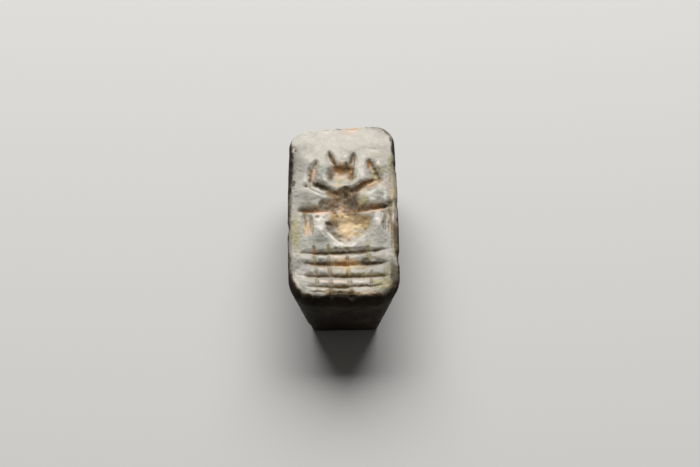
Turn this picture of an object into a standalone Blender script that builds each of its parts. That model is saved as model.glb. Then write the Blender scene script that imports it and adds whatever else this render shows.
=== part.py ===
"""A rectangular stone stamp seal that lies on its narrower back, with its engraved face up.

The seal is one stone. Its body is a loft of rounded rectangles: a small flat back, four
straight tapering walls, a worn, rounded rim and a flat face. A horned figure and a hatched
field are sunk into the face with boat-shaped gouges and round drill pits, and a cord hole is
drilled across the narrow back part. The long axis is Y, the figure's head is towards +Y, and
the origin is under the centre of the back.
"""
import bpy
import bmesh
import math
from mathutils import Vector

MM = 0.001

# Body, in metres
FACE_WIDTH = 20.0 * MM
FACE_LENGTH = 37.0 * MM
HEIGHT = 15.0 * MM
SIDE_TAPER = 3.9 * MM        # how far each long wall leans in, from rim to back
END_TAPER = 2.1 * MM         # how far each end wall leans in
SIDE_BOW = 0.35 * MM         # the long sides swell this much at their middle, at the rim
END_BOW = 0.6 * MM           # and the ends
FAR_END_SKEW = 0.35 * MM     # the far end is cut a little out of square
FAR_CORNER_RADIUS = 3.4 * MM     # in plan, at the rim
NEAR_CORNER_RADIUS = 4.3 * MM
BACK_CORNER_RADIUS = 1.0 * MM
RIM_INSET = 1.1 * MM         # the worn rim, seen from above
RIM_DROP = 1.5 * MM          # and from the side
BACK_EDGE = 0.7 * MM         # radius of the back's edge

# Cord hole, straight across the seal
HOLE_DIAMETER = 2.6 * MM
HOLE_HEIGHT = 4.4 * MM
HOLE_SIDES = 20

# Mesh steps
CORNER_STEPS = 6
SIDE_STEPS = 6
RIM_STEPS = 5
BACK_EDGE_ANGLES = (0, 30, 60)
STATIONS = 9                 # along a gouge
ACROSS = 8                   # across a gouge
TURNS = 16                   # around a pit
BOWL_REACHES = (0.15, 0.45, 0.7, 0.85, 0.95)    # rings of a bowl below the face
SHARP_FROM = 35              # edges at least this sharp, in degrees, stay crisp

# How the tools cut
LIFT = 0.2                   # a cutter's lid stands this far above the face, in mm
END_POWER = 6                # how suddenly a gouge closes at its ends
END_WIDTH = 0.15             # its width there, as a share
END_LIFT = 0.4               # its keel's height there, as a share of the lid's
PIT_WALL = 3.0               # how steep the walls of a drilled pit are
BELLY_WALL = 4.0
SOFT_WALL = 2.0              # a worn hollow or a chip

# The carving below is in millimetres from the middle of the face: x across, y along.
# A gouge is (start, end, width at start, width at end, depth, bow to its left).
# A pit is (centre, half sizes, depth).
HEAD = ((-0.1, 7.7), (2.5, 2.4), 0.9)
TORSO = ((0.5, 5.6), (0.7, -1.1), 3.3, 5.4, 0.85, 0.0)
HORNS = (
    ((-2.4, 12.9), (-1.35, 9.3), 1.0, 1.3, 0.45, 0.0),
    ((2.05, 12.5), (1.7, 9.2), 0.8, 1.3, 0.4, 0.05),
)
BROW_NOTCH = ((0.6, 10.6), (1.0, 9.0), 0.6, 1.1, 0.4, 0.0)
UPPER_ARMS = (
    ((-5.7, 6.2), (-0.4, 3.1), 1.3, 1.9, 0.6, 0.1),
    ((6.15, 7.0), (1.1, 4.05), 1.8, 2.5, 0.65, 0.0),
)
FOREARMS = (
    ((-4.75, 10.9), (-5.75, 5.3), 1.0, 1.5, 0.35, -0.15),
    ((4.85, 11.2), (6.65, 6.0), 1.2, 1.9, 0.45, 0.05),
)
THIGHS = (
    ((-8.0, 0.05), (0.2, 0.7), 1.4, 2.4, 0.5, 0.0),
    ((8.4, 1.0), (2.0, 0.0), 1.3, 2.2, 0.65, 0.0),
)
HIP = ((-3.5, 1.9), (1.4, 1.1), 0.35)
LOWER_LEGS = (
    ((-6.75, -0.2), (-6.5, -5.2), 0.6, 0.6, 0.3, 0.0),
    ((-5.85, -0.4), (-5.55, -5.0), 0.5, 0.6, 0.3, 0.0),
    ((7.25, 0.5), (7.4, -4.2), 0.5, 0.45, 0.3, 0.0),
    ((8.05, 0.6), (8.35, -4.7), 0.5, 0.5, 0.3, 0.05),
)
BELLY_OUTLINE = ((0.4, -7.2), (2.9, -6.1), (4.9, -4.1), (5.9, -1.1), (2.4, 0.4),
                 (-0.8, 0.2), (-3.4, -1.8), (-3.2, -4.0), (-1.6, -6.2))
BELLY_DEPTH = 0.85
PITS = (
    ((-6.5, 5.5), (0.36, 0.36), 0.4),
    ((-4.5, -1.3), (0.34, 0.34), 0.4),
    ((8.3, 1.5), (0.55, 0.55), 0.45),
    ((-4.75, 10.45), (0.4, 0.36), 0.45),
)

# Hatched field: rows across the seal, then strokes along it
ROWS = (
    ((-7.5, -8.65), (7.4, -8.1), 1.2, 1.1, 0.46, 0.0),
    ((-6.8, -10.75), (7.4, -10.75), 2.1, 2.1, 0.74, 0.0),
    ((-6.9, -13.3), (7.2, -13.5), 1.5, 1.5, 0.5, 0.0),
    ((-6.2, -15.45), (6.6, -15.3), 1.3, 1.2, 0.46, 0.0),
)
WIDE_PLACES = (
    # in the second row
    ((3.8, -10.1), (1.2, 0.8), 0.5),
    ((-4.1, -10.1), (1.1, 0.8), 0.5),
)
STROKES = (
    ((-5.35, -7.3), (-4.6, -16.0), 0.6, 0.7, 0.4, 0.1),
    ((-2.8, -7.0), (-2.1, -17.2), 0.6, 0.8, 0.4, 0.0),
    ((0.35, -7.6), (1.2, -17.3), 0.7, 0.8, 0.4, 0.1),
    ((4.3, -7.4), (4.7, -16.0), 0.6, 0.7, 0.35, 0.1),
)

# Chips: centre, half sizes, depth below the face
CHIPS = (
    ((-0.2, 18.6), (0.75, 1.0), 1.0),
    ((1.9, 18.7), (1.7, 1.3), 0.8),
    ((-2.8, 18.4), (0.9, 0.9), 0.5),
    ((-0.2, -18.6), (3.0, 2.2), 1.1),
    ((-6.3, -17.6), (0.9, 1.0), 1.2),
    ((5.3, -18.0), (1.3, 0.8), 1.0),
)


def remove_everything():
    """Start from an empty scene."""
    for obj in list(bpy.data.objects):
        bpy.data.objects.remove(obj, do_unlink=True)


def stone(name, colour, roughness):
    """A Principled material for a plain stone."""
    material = bpy.data.materials.new(name)
    material.use_nodes = True
    shader = material.node_tree.nodes["Principled BSDF"]
    shader.inputs["Base Color"].default_value = (*colour, 1.0)
    shader.inputs["Roughness"].default_value = roughness
    shader.inputs["Metallic"].default_value = 0.0
    return material


def outline(inset_x, inset_y, z):
    """One level of the body: a rounded rectangle with bowed sides, walked anticlockwise.

    The insets move its sides in from the widest level. Towards the back its corners
    tighten and its sides straighten, in step with the lean of the walls.
    """
    lean = min(inset_x / SIDE_TAPER, 1.0)
    side_bow = SIDE_BOW * (1 - lean)
    end_bow = END_BOW * (1 - lean)
    half_x = FACE_WIDTH / 2 - side_bow - inset_x
    half_y = FACE_LENGTH / 2 - end_bow - inset_y
    near = NEAR_CORNER_RADIUS + (BACK_CORNER_RADIUS - NEAR_CORNER_RADIUS) * lean
    far = FAR_CORNER_RADIUS + (BACK_CORNER_RADIUS - FAR_CORNER_RADIUS) * lean
    corners = ((1, -1, near), (1, 1, far), (-1, 1, far), (-1, -1, near))
    plain = []
    for index, (side_x, side_y, radius) in enumerate(corners):
        centre = Vector((side_x * (half_x - radius), side_y * (half_y - radius)))
        for step in range(CORNER_STEPS + 1):
            angle = math.radians(90 * (index - 1 + step / CORNER_STEPS))
            plain.append(centre + radius * Vector((math.cos(angle), math.sin(angle))))
        next_x, next_y, next_radius = corners[(index + 1) % 4]
        next_centre = Vector((next_x * (half_x - next_radius), next_y * (half_y - next_radius)))
        side_start = plain[-1]
        turn = math.radians(90 * index)
        side_end = next_centre + next_radius * Vector((math.cos(turn), math.sin(turn)))
        for step in range(1, SIDE_STEPS):
            plain.append(side_start.lerp(side_end, step / SIDE_STEPS))
    ring = []
    for x, y in plain:
        swell_x = 1 + side_bow / half_x * (1 - (y / half_y) ** 2)
        swell_y = 1 + end_bow / half_y * (1 - (x / half_x) ** 2)
        skew = FAR_END_SKEW * (x / half_x) * max(y / half_y, 0.0) ** 3
        ring.append(Vector((x * swell_x, y * swell_y + skew, z)))
    return ring


def body_levels():
    """(inset_x, inset_y, z) from the flat back up to the flat face."""
    shoulder = HEIGHT - RIM_DROP
    levels = []
    for angle in BACK_EDGE_ANGLES:                         # the back's rounded edge
        edge = BACK_EDGE * (1 - math.sin(math.radians(angle)))
        z = BACK_EDGE * (1 - math.cos(math.radians(angle)))
        lean = 1 - z / shoulder
        levels.append((SIDE_TAPER * lean + edge, END_TAPER * lean + edge, z))
    for z in (BACK_EDGE, shoulder / 3, shoulder * 2 / 3, shoulder):    # the straight walls
        lean = 1 - z / shoulder
        levels.append((SIDE_TAPER * lean, END_TAPER * lean, z))
    for step in range(1, RIM_STEPS + 1):                   # the worn rim
        angle = math.radians(90 * step / RIM_STEPS)
        inset = RIM_INSET * (1 - math.cos(angle))
        levels.append((inset, inset, shoulder + RIM_DROP * math.sin(angle)))
    return levels


def add_skin(mesh_edit, rings):
    """Bridge a stack of equal rings and close both ends."""
    rows = [[mesh_edit.verts.new(point) for point in ring] for ring in rings]
    faces = []
    for low, high in zip(rows, rows[1:]):
        for index in range(len(low)):
            after = (index + 1) % len(low)
            faces.append(mesh_edit.faces.new((low[index], low[after], high[after], high[index])))
    faces.append(mesh_edit.faces.new(list(reversed(rows[0]))))
    faces.append(mesh_edit.faces.new(rows[-1]))
    bmesh.ops.recalc_face_normals(mesh_edit, faces=faces)


def make_object(name, stacks):
    """One object from one or more closed stacks of rings that don't touch each other."""
    mesh_edit = bmesh.new()
    for rings in stacks:
        add_skin(mesh_edit, rings)
    mesh = bpy.data.meshes.new(name)
    mesh_edit.to_mesh(mesh)
    mesh_edit.free()
    obj = bpy.data.objects.new(name, mesh)
    bpy.context.scene.collection.objects.link(obj)
    return obj


def gouge(start, end, width_start, width_end, depth, bow):
    """A boat-shaped gouge, as cross-sections from one end to the other.

    Its keel dips from above the face down to the depth and up again, as the square root of
    1 - (2t - 1)^END_POWER, and its width closes at both ends by the same rule. Across, the
    floor is a parabola. The lid is LIFT above the face, and the widths are those at the face.
    """
    start = Vector((*start, 0.0))
    end = Vector((*end, 0.0))
    along = (end - start).normalized()
    left = Vector((-along.y, along.x, 0.0))
    lid_growth = math.sqrt((depth + LIFT) / depth)
    rings = []
    for station in range(STATIONS):
        share = station / (STATIONS - 1)
        fullness = math.sqrt(1 - abs(2 * share - 1) ** END_POWER)
        width = width_start + (width_end - width_start) * share
        half = 0.5 * width * lid_growth * (END_WIDTH + (1 - END_WIDTH) * fullness)
        keel = END_LIFT * LIFT - (depth + END_LIFT * LIFT) * fullness
        centre = start.lerp(end, share) + left * bow * 4 * share * (1 - share)
        ring = []
        for step in range(ACROSS + 1):
            across = 2 * step / ACROSS - 1
            z = LIFT - (LIFT - keel) * (1 - across ** 2)
            point = centre + left * half * across
            ring.append(Vector((point.x * MM, point.y * MM, HEIGHT + z * MM)))
        rings.append(ring)
    return rings


def bowl(outline_points, centre, depth, wall_power):
    """A bowl under a closed outline: its depth is 1 - r^wall_power, where r runs from 0 at
    the centre to 1 at the outline. It goes on above the face, to a lid.
    """
    centre = Vector(centre)
    lid_growth = (1 + LIFT / depth) ** (1 / wall_power)
    rings = []
    for reach in (*BOWL_REACHES, lid_growth):
        z = -depth * (1 - reach ** wall_power)
        ring = []
        for point in outline_points:
            spread = centre + (Vector(point) - centre) * reach
            ring.append(Vector((spread.x * MM, spread.y * MM, HEIGHT + z * MM)))
        rings.append(ring)
    return rings


def drill(centre, half_sizes, depth, wall_power=PIT_WALL):
    """A round or oval pit."""
    points = []
    for turn in range(TURNS):
        angle = 2 * math.pi * turn / TURNS
        points.append((centre[0] + half_sizes[0] * math.cos(angle), centre[1] + half_sizes[1] * math.sin(angle)))
    return bowl(points, centre, depth, wall_power)


def smooth_loop(points, steps):
    """A closed Catmull-Rom curve through a few points."""
    points = [Vector(point) for point in points]
    count = len(points)
    curve = []
    for index in range(count):
        before, here, after, beyond = (points[(index + offset) % count] for offset in (-1, 0, 1, 2))
        for step in range(steps):
            t = step / steps
            curve.append(0.5 * (
                2 * here
                + (after - before) * t
                + (2 * before - 5 * here + 4 * after - beyond) * t ** 2
                + (3 * here - before - 3 * after + beyond) * t ** 3
            ))
    return curve


def cut(body, name, stacks):
    """Cut closed shapes that don't touch each other out of the body, in one pass."""
    cutter = make_object(name, stacks)
    cutter.hide_render = True
    cutter.display_type = "WIRE"
    modifier = body.modifiers.new(name, "BOOLEAN")
    modifier.operation = "DIFFERENCE"
    modifier.solver = "EXACT"
    modifier.object = cutter


def cut_cord_hole(body):
    """A straight hole across the seal, through both long walls."""
    rings = []
    for x in (-FACE_WIDTH / 2, FACE_WIDTH / 2):
        ring = []
        for side in range(HOLE_SIDES):
            angle = 2 * math.pi * side / HOLE_SIDES
            y = HOLE_DIAMETER / 2 * math.cos(angle)
            z = HOLE_HEIGHT + HOLE_DIAMETER / 2 * math.sin(angle)
            ring.append(Vector((x, y, z)))
        rings.append(ring)
    cut(body, "cord_hole", [rings])


def cut_figure(body):
    """The horned figure: arms raised, legs out to the sides, and a heart-shaped belly."""
    belly = smooth_loop(BELLY_OUTLINE, steps=4)
    belly_middle = sum(belly, Vector((0.0, 0.0))) / len(belly)
    cut(body, "head_belly_and_forearms", [
        drill(*HEAD),
        bowl(belly, belly_middle, BELLY_DEPTH, BELLY_WALL),
        *(gouge(*forearm) for forearm in FOREARMS),
        *(gouge(*leg) for leg in LOWER_LEGS),
    ])
    cut(body, "horns_arms_and_thighs", [gouge(*stroke) for stroke in HORNS + UPPER_ARMS + THIGHS])
    cut(body, "torso_and_notch", [gouge(*stroke) for stroke in (TORSO, BROW_NOTCH)])
    cut(body, "hip", [drill(*HIP, SOFT_WALL)])
    cut(body, "pits", [drill(*pit) for pit in PITS])


def cut_hatching(body):
    """Four rows across the seal, crossed by four strokes along it."""
    cut(body, "rows", [gouge(*row) for row in ROWS])
    cut(body, "wide_places", [drill(*place, SOFT_WALL) for place in WIDE_PLACES])
    cut(body, "strokes", [gouge(*stroke) for stroke in STROKES])


remove_everything()
seal = make_object("stamp_seal", [[outline(*level) for level in body_levels()]])
seal.data.materials.append(stone("worn dark stone", (0.30, 0.29, 0.24), 0.45))
cut_cord_hole(seal)
cut_figure(seal)
cut_hatching(seal)
cut(seal, "chips", [drill(*chip, SOFT_WALL) for chip in CHIPS])
seal.data.shade_smooth()
seal.data.set_sharp_from_angle(angle=math.radians(SHARP_FROM))
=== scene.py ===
import math

import bpy
import numpy as np
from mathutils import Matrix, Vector


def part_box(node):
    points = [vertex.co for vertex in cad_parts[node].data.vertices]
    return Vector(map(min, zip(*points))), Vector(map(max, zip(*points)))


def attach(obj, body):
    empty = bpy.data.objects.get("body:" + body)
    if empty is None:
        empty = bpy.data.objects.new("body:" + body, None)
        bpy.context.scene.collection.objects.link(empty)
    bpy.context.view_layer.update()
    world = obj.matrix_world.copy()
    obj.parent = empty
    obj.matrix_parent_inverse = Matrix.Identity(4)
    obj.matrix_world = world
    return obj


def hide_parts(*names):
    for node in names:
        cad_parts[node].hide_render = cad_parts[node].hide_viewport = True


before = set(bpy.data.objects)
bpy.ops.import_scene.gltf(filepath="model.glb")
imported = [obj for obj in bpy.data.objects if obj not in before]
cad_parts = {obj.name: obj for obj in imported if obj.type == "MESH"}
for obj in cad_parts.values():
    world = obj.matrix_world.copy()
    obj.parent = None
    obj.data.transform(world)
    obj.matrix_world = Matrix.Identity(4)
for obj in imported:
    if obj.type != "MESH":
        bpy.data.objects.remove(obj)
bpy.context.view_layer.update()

# ---------------------------------------------------------------------------------------
# The stone's body. One block of soft dark stone, sawn and ground square, with a flat face,
# a rim worn round, and four walls that lean in to a narrow back.
# Lengths here are millimetres, and places are measured from the middle of the face.

MM = 0.001
stone_low, stone_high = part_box("stamp_seal")
WIDTH = (stone_high.x - stone_low.x) / MM
LENGTH = -2 * stone_low.y / MM
HEIGHT = (stone_high.z - stone_low.z) / MM
SIDE_TAPER, END_TAPER = 3.9, 2.1
SIDE_BOW, END_BOW = 0.35, 0.6
FAR_END_SKEW = 0.6
FAR_CORNER, NEAR_CORNER, BACK_CORNER = 3.4, 4.3, 1.0
RIM_INSET, RIM_DROP = 1.1, 1.5
FAR_RIM, NEAR_RIM = 0.4, 1.4    # the far end's rim is tighter than the sides', the near end's wider
RIM_EASES_FROM, RIM_EASES_OVER = 0.72, 0.24     # shares of the half length
BACK_EDGE = 0.7
SHOULDER = HEIGHT - RIM_DROP
CORNER_PULL = 6                 # the power by which the face's grid is drawn in at its corners
CELLS_ACROSS, CELLS_ALONG = 160, 296
RIM_RINGS, WALL_RINGS, EDGE_RINGS = 14, 26, 4
BACK_SCALES = (0.97, 0.88, 0.7, 0.45, 0.2)      # rings of the flat back


def level_point(across, along, inset_x, inset_y):
    """Where a point of the unit square goes on one level of the stone.

    The square is stretched to the level's half width and half length. Towards its corners
    it is pulled in, more and more towards its edge, until the edge is a rounded rectangle:
    an edge point slides down its own ray to the corner's arc. Then the sides are bowed out
    by 1 - (y / half length)^2 and the far end is skewed by (y / half length)^3.
    """
    lean = np.clip(inset_x / SIDE_TAPER, 0, 1)
    side_bow, end_bow = SIDE_BOW * (1 - lean), END_BOW * (1 - lean)
    half_x = WIDTH / 2 - side_bow - inset_x
    half_y = LENGTH / 2 - end_bow - inset_y
    at_rim = np.where(along < 0, NEAR_CORNER, FAR_CORNER)
    radius = at_rim + (BACK_CORNER - at_rim) * lean
    reach = np.maximum(np.abs(across), np.abs(along))
    edge_x = np.abs(across) / np.maximum(reach, 1e-9) * half_x
    edge_y = np.abs(along) / np.maximum(reach, 1e-9) * half_y
    centre_x, centre_y = half_x - radius, half_y - radius
    toward = edge_x * centre_x + edge_y * centre_y
    ray_sq = edge_x ** 2 + edge_y ** 2
    under_root = toward ** 2 - ray_sq * (centre_x ** 2 + centre_y ** 2 - radius ** 2)
    to_arc = (toward + np.sqrt(np.maximum(under_root, 0))) / ray_sq
    at_corner = (edge_x > centre_x) & (edge_y > centre_y)
    pull = np.where(at_corner, 1 - np.minimum(to_arc, 1), 0) * reach ** CORNER_PULL
    x = across * half_x * (1 - pull)
    y = along * half_y * (1 - pull)
    x = x * (1 + side_bow / half_x * (1 - (y / half_y) ** 2))
    y = y * (1 + end_bow / half_y * (1 - np.clip(x / half_x, -1, 1) ** 2))
    skew = FAR_END_SKEW * (x / half_x) * np.maximum(y / half_y, 0) ** 3
    return x, y + skew


def rim_share(along):
    """How big the rim is along the stone: 1 at the sides, easing to its share at either end."""
    t = np.clip((np.abs(along) - RIM_EASES_FROM) / RIM_EASES_OVER, 0, 1)
    return 1 + (np.where(along > 0, FAR_RIM, NEAR_RIM) - 1) * t * t * (3 - 2 * t)


def wall_level(z, round_in=0.0):
    """A level below the rim: the walls lean in by their tapers, in proportion to the way down."""
    down = 1 - z / SHOULDER
    return SIDE_TAPER * down + round_in, END_TAPER * down + round_in, z


def edge_of(grid):
    """A grid's outer edge, walked anticlockwise from its first corner."""
    return np.concatenate([grid[0, :-1], grid[:-1, -1], grid[-1, :0:-1], grid[:0:-1, 0]])


# The face is a grid over the unit square. Its edge is the first ring of the sides, and each
# further ring lies lower: round the rim, down the walls and round the back's edge.
face_s, face_t = np.meshgrid(np.linspace(-1, 1, CELLS_ACROSS + 1), np.linspace(-1, 1, CELLS_ALONG + 1))
face_inset = RIM_INSET * rim_share(face_t)
face_x, face_y = level_point(face_s, face_t, face_inset, face_inset)
face = np.stack([face_x, face_y, np.full_like(face_x, HEIGHT)], axis=-1)
levels = [(RIM_INSET, RIM_INSET, HEIGHT)]
for angle in np.radians(90 * (1 - np.arange(1, RIM_RINGS + 1) / RIM_RINGS)):
    inset = RIM_INSET * (1 - math.cos(angle))
    levels.append((inset, inset, SHOULDER + RIM_DROP * math.sin(angle)))
for z in np.linspace(SHOULDER, BACK_EDGE, WALL_RINGS + 1)[1:]:
    levels.append(wall_level(z))
for angle in np.radians(90 * np.arange(1, EDGE_RINGS + 1) / EDGE_RINGS):
    levels.append(wall_level(BACK_EDGE * (1 - math.sin(angle)), BACK_EDGE * (1 - math.cos(angle))))
edge_s, edge_t = edge_of(face_s), edge_of(face_t)
rim = rim_share(edge_t)
sides = []
for inset_x, inset_y, z in levels:
    on_rim = rim if z >= SHOULDER else 1.0
    raised = np.minimum((z - BACK_EDGE) / (SHOULDER - BACK_EDGE), (HEIGHT - z) / RIM_DROP)
    ring_z = z + (1 - rim) * RIM_DROP * max(raised, 0)
    ring_x, ring_y = level_point(edge_s, edge_t, inset_x * on_rim, inset_y * on_rim)
    sides.append(np.stack([ring_x, ring_y, ring_z], axis=-1))
sides = np.array(sides)
back = np.array([sides[-1] * (scale, scale, 1) for scale in BACK_SCALES])


# ---------------------------------------------------------------------------------------
# The carving. A horned figure with raised arms and a hatched field below it, pushed and
# drilled into the face with gravers and round drills, and since worn soft at the lips.

LIP = 0.24                      # how far the lip of each cut is worn round
JOIN, CROSSING = 0.12, 0.14     # how softly cuts of one kind join, and the kinds with each other
OUTSIDE = 0.5                   # how steeply a cut's field goes on falling outside the cut
HAND_WOBBLE, TOOL_WOBBLE = 0.15, 0.10
TOOL_MARKS, DEPTH_VARIES = 0.11, 0.35           # millimetres in the floors, and a share of the depth
LOOP_STEPS = 6                  # points of a hollow's outline for each one that is given
FLOOR_EASES = (2.2, 0.5)        # how much nearer than its walls a hollow's floor changes over
FIGURE = (
    # start, end, widths, depth, bow to the left, share of the width on the left, ends, profiles
    ((-2.4, 12.9), (-1.35, 9.3), (1.1, 1.5), 0.44, 0.0, 0.4, 2, (1.3, 1.0)),         # horns
    ((2.05, 12.5), (1.7, 9.2), (0.7, 1.5), 0.36, 0.05, 0.6, 2, (1.0, 1.3)),
    ((0.6, 10.5), (1.0, 9.0), (0.6, 1.2), 0.24, 0.0, 0.5, 3, (1.0, 1.0)),            # nick between them
    ((-4.75, 10.8), (-5.75, 5.3), (1.0, 1.6), 0.30, -0.15, 0.5, 4, (1.4, 1.6)),      # forearms
    ((4.85, 11.1), (6.65, 6.0), (1.3, 2.1), 0.42, 0.05, 0.38, 3, (1.3, 1.4)),
    ((-5.7, 6.2), (-0.4, 3.1), (1.3, 2.0), 0.58, 0.1, 0.48, 6, (1.3, 1.3)),          # upper arms
    ((6.15, 7.0), (1.1, 4.05), (1.8, 2.6), 0.66, 0.0, 0.73, 6, (1.1, 1.3)),
    ((-6.3, 5.1), (-2.8, 3.2), (0.5, 0.5), 0.06, 0.0, 0.5, 3, (1.0, 1.0)),           # slip by the left arm
    ((0.5, 5.6), (0.7, -1.1), (3.3, 6.0), 0.82, 0.0, 0.47, 5, (1.15, 1.15)),         # torso
    ((0.35, 5.0), (0.7, 1.4), (0.8, 0.7), 1.00, 0.0, 0.5, 4, (1.2, 1.2)),
    ((-7.95, 0.05), (0.2, 0.7), (1.4, 2.4), 0.48, 0.0, 0.72, 4, (0.95, 1.1)),        # thighs
    ((8.3, 1.0), (2.0, 0.0), (1.3, 2.2), 0.64, 0.0, 0.24, 6, (1.2, 0.8)),
    ((-6.65, -0.2), (-6.45, -5.3), (0.9, 0.8), 0.20, 0.0, 0.5, 3, (1.4, 1.4)),       # lower legs
    ((-5.9, -0.4), (-5.6, -5.0), (0.5, 0.7), 0.22, 0.0, 0.5, 3, (1.2, 1.2)),
    ((7.3, 0.5), (7.4, -4.2), (0.7, 0.6), 0.18, 0.0, 0.5, 3, (1.2, 1.2)),
    ((7.95, 0.6), (8.35, -4.7), (0.6, 0.6), 0.22, 0.05, 0.5, 3, (1.4, 1.4)),
    ((-1.45, -7.5), (-1.35, -8.9), (0.5, 0.5), 0.20, 0.0, 0.5, 3, (1.0, 1.0)),
    ((-2.7, -2.6), (-1.1, -5.5), (1.1, 0.9), 0.72, 0.0, 0.6, 5, (1.2, 1.2)),         # left side of the belly
)
ROWS = (
    # the hatched field's four rows, from their left ends
    ((-7.5, -8.65), (7.4, -8.1), (1.5, 1.3), 0.46, -0.26, 0.36, 2.5, (0.75, 0.85)),
    ((-6.8, -10.75), (7.4, -10.75), (2.5, 2.5), 0.74, -0.26, 0.40, 2.5, (0.75, 0.8)),
    ((-6.9, -13.3), (7.2, -13.55), (2.0, 2.0), 0.50, -0.14, 0.40, 2.5, (0.7, 0.8)),
    ((-6.2, -15.45), (6.6, -15.3), (1.7, 1.5), 0.46, -0.14, 0.40, 2.5, (0.7, 0.8)),
)
STROKES = (
    # the strokes that cross the rows, from their tops
    ((-5.35, -7.3), (-4.6, -16.0), (0.6, 0.7), 0.34, 0.1, 0.5, 4, (0.9, 0.9)),
    ((-2.8, -7.0), (-2.1, -18.2), (0.6, 0.9), 0.36, 0.0, 0.5, 4, (0.9, 0.9)),
    ((0.35, -7.6), (1.2, -18.4), (0.7, 1.0), 0.36, 0.1, 0.5, 5, (0.9, 0.9)),
    ((4.3, -7.4), (4.5, -11.6), (0.6, 0.8), 0.20, 0.0, 0.5, 3, (0.9, 0.9)),
    ((4.9, -11.8), (4.6, -16.0), (0.4, 0.8), 0.24, 0.0, 0.5, 4, (0.9, 0.9)),
)
DRILLED = (
    # centre, half sizes, depth, wall
    ((-3.3, 1.9), (1.6, 1.2), 0.42, 1.0),           # hip
    ((-6.5, 5.5), (0.36, 0.34), 0.24, 1.4),         # pits
    ((-4.5, -1.3), (0.3, 0.26), 0.16, 1.4),
    ((-2.5, -2.8), (1.0, 0.85), 0.60, 1.3),         # far left of the belly
    ((6.15, 6.7), (0.8, 0.9), 0.60, 1.2),           # elbow
    ((-4.75, 10.45), (0.4, 0.34), 0.22, 1.4),
    ((-5.75, 8.9), (0.3, 0.34), 0.24, 1.4),
    ((-5.9, 7.9), (0.28, 0.34), 0.26, 1.4),
    ((-5.95, 6.95), (0.26, 0.3), 0.22, 1.4),
    ((8.3, 1.5), (0.55, 0.55), 0.30, 1.4),
    ((3.8, -10.2), (1.2, 0.8), 0.24, 0.8),          # wide places in the second row
    ((-4.1, -10.2), (1.1, 0.8), 0.22, 0.8),
)
HOLLOWS = (
    # outline, depth, width of its near and far walls, between which y they change over, the
    # walls' profile (straight with a sharp foot at 1, hollow above it), depth's near share
    (((-1.9, 10.1), (0.0, 10.1), (2.1, 9.8), (2.4, 8.2), (2.1, 6.7), (0.7, 5.5), (-1.1, 5.4),
      (-2.2, 6.4), (-2.7, 8.0)), 0.86, (1.1, 1.6), (7.2, 9.0), 1.4, 0.5),            # head
    (((0.4, -7.25), (1.7, -6.85), (2.9, -6.15), (3.95, -5.25), (4.95, -4.15), (5.75, -2.7), (5.95, -0.9),
      (2.4, 0.6), (-0.8, 0.4), (-2.8, -1.0), (-3.6, -2.4), (-3.35, -3.8), (-2.65, -5.05), (-1.75, -6.15),
      (-0.7, -7.0)), 0.80, (1.0, 3.2), (-4.0, -1.4), 1.1, 1.0),                      # belly
)


def lattice(points, pitch, seed):
    """Smooth random field from -1 to 1: random values on a cubic lattice of that pitch,
    blended between its corners by 3t^2 - 2t^3 on each axis. Three large primes scatter the
    lattice's corners over 4,096 values.
    """
    values = np.random.default_rng(seed).uniform(-1, 1, 4096)
    cell = np.floor(points / pitch).astype(np.int64)
    t = points / pitch - cell
    t = t * t * (3 - 2 * t)
    total = np.zeros(points.shape[:-1])
    for corner in range(8):
        step = np.array([corner & 1, corner >> 1 & 1, corner >> 2 & 1])
        at = cell + step
        pick = (at[..., 0] * 73856093 ^ at[..., 1] * 19349663 ^ at[..., 2] * 83492791) & 4095
        total += values[pick] * np.prod(np.where(step, t, 1 - t), axis=-1)
    return total


def fractal(points, pitch, octaves, seed):
    """Sum of lattice fields, each half the pitch and 0.55 of the strength of the last."""
    total, strength, whole = np.zeros(points.shape[:-1]), 1.0, 0.0
    for octave in range(octaves):
        total += strength * lattice(points, pitch / 2 ** octave, seed + octave)
        whole += strength
        strength *= 0.55
    return total / whole


def step_up(value, low, high):
    """0 below low, 1 above high, and 3t^2 - 2t^3 between."""
    t = np.clip((value - low) / (high - low), 0, 1)
    return t * t * (3 - 2 * t)


def joined(a, b, softness):
    """The larger of two fields, rounded where they meet: (a + b + sqrt((a - b)^2 + e^2)) / 2."""
    return 0.5 * (a + b + np.sqrt((a - b) ** 2 + softness ** 2))


def across_cut(a, profile):
    """A cut's depth across its width, 1 in the middle and 0 at a = 1: 1 - a^p makes a round
    floor with a sharp lip (p over 1), (1 - a)^(1/p) a keel with a soft lip (p under 1).
    Outside the cut it goes on as 1 - a.
    """
    inside = np.clip(a, 0, 1)
    shape = np.where(profile > 1, 1 - inside ** profile, (1 - inside) ** (1 / profile))
    return np.where(a < 1, shape, 1 - np.minimum(a, 4))


def sunk_by(share, depth):
    """A share of a cut's depth as a depth; outside the cut it is negative and counts as OUTSIDE."""
    return share * np.where(share > 0, depth, OUTSIDE)


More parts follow.
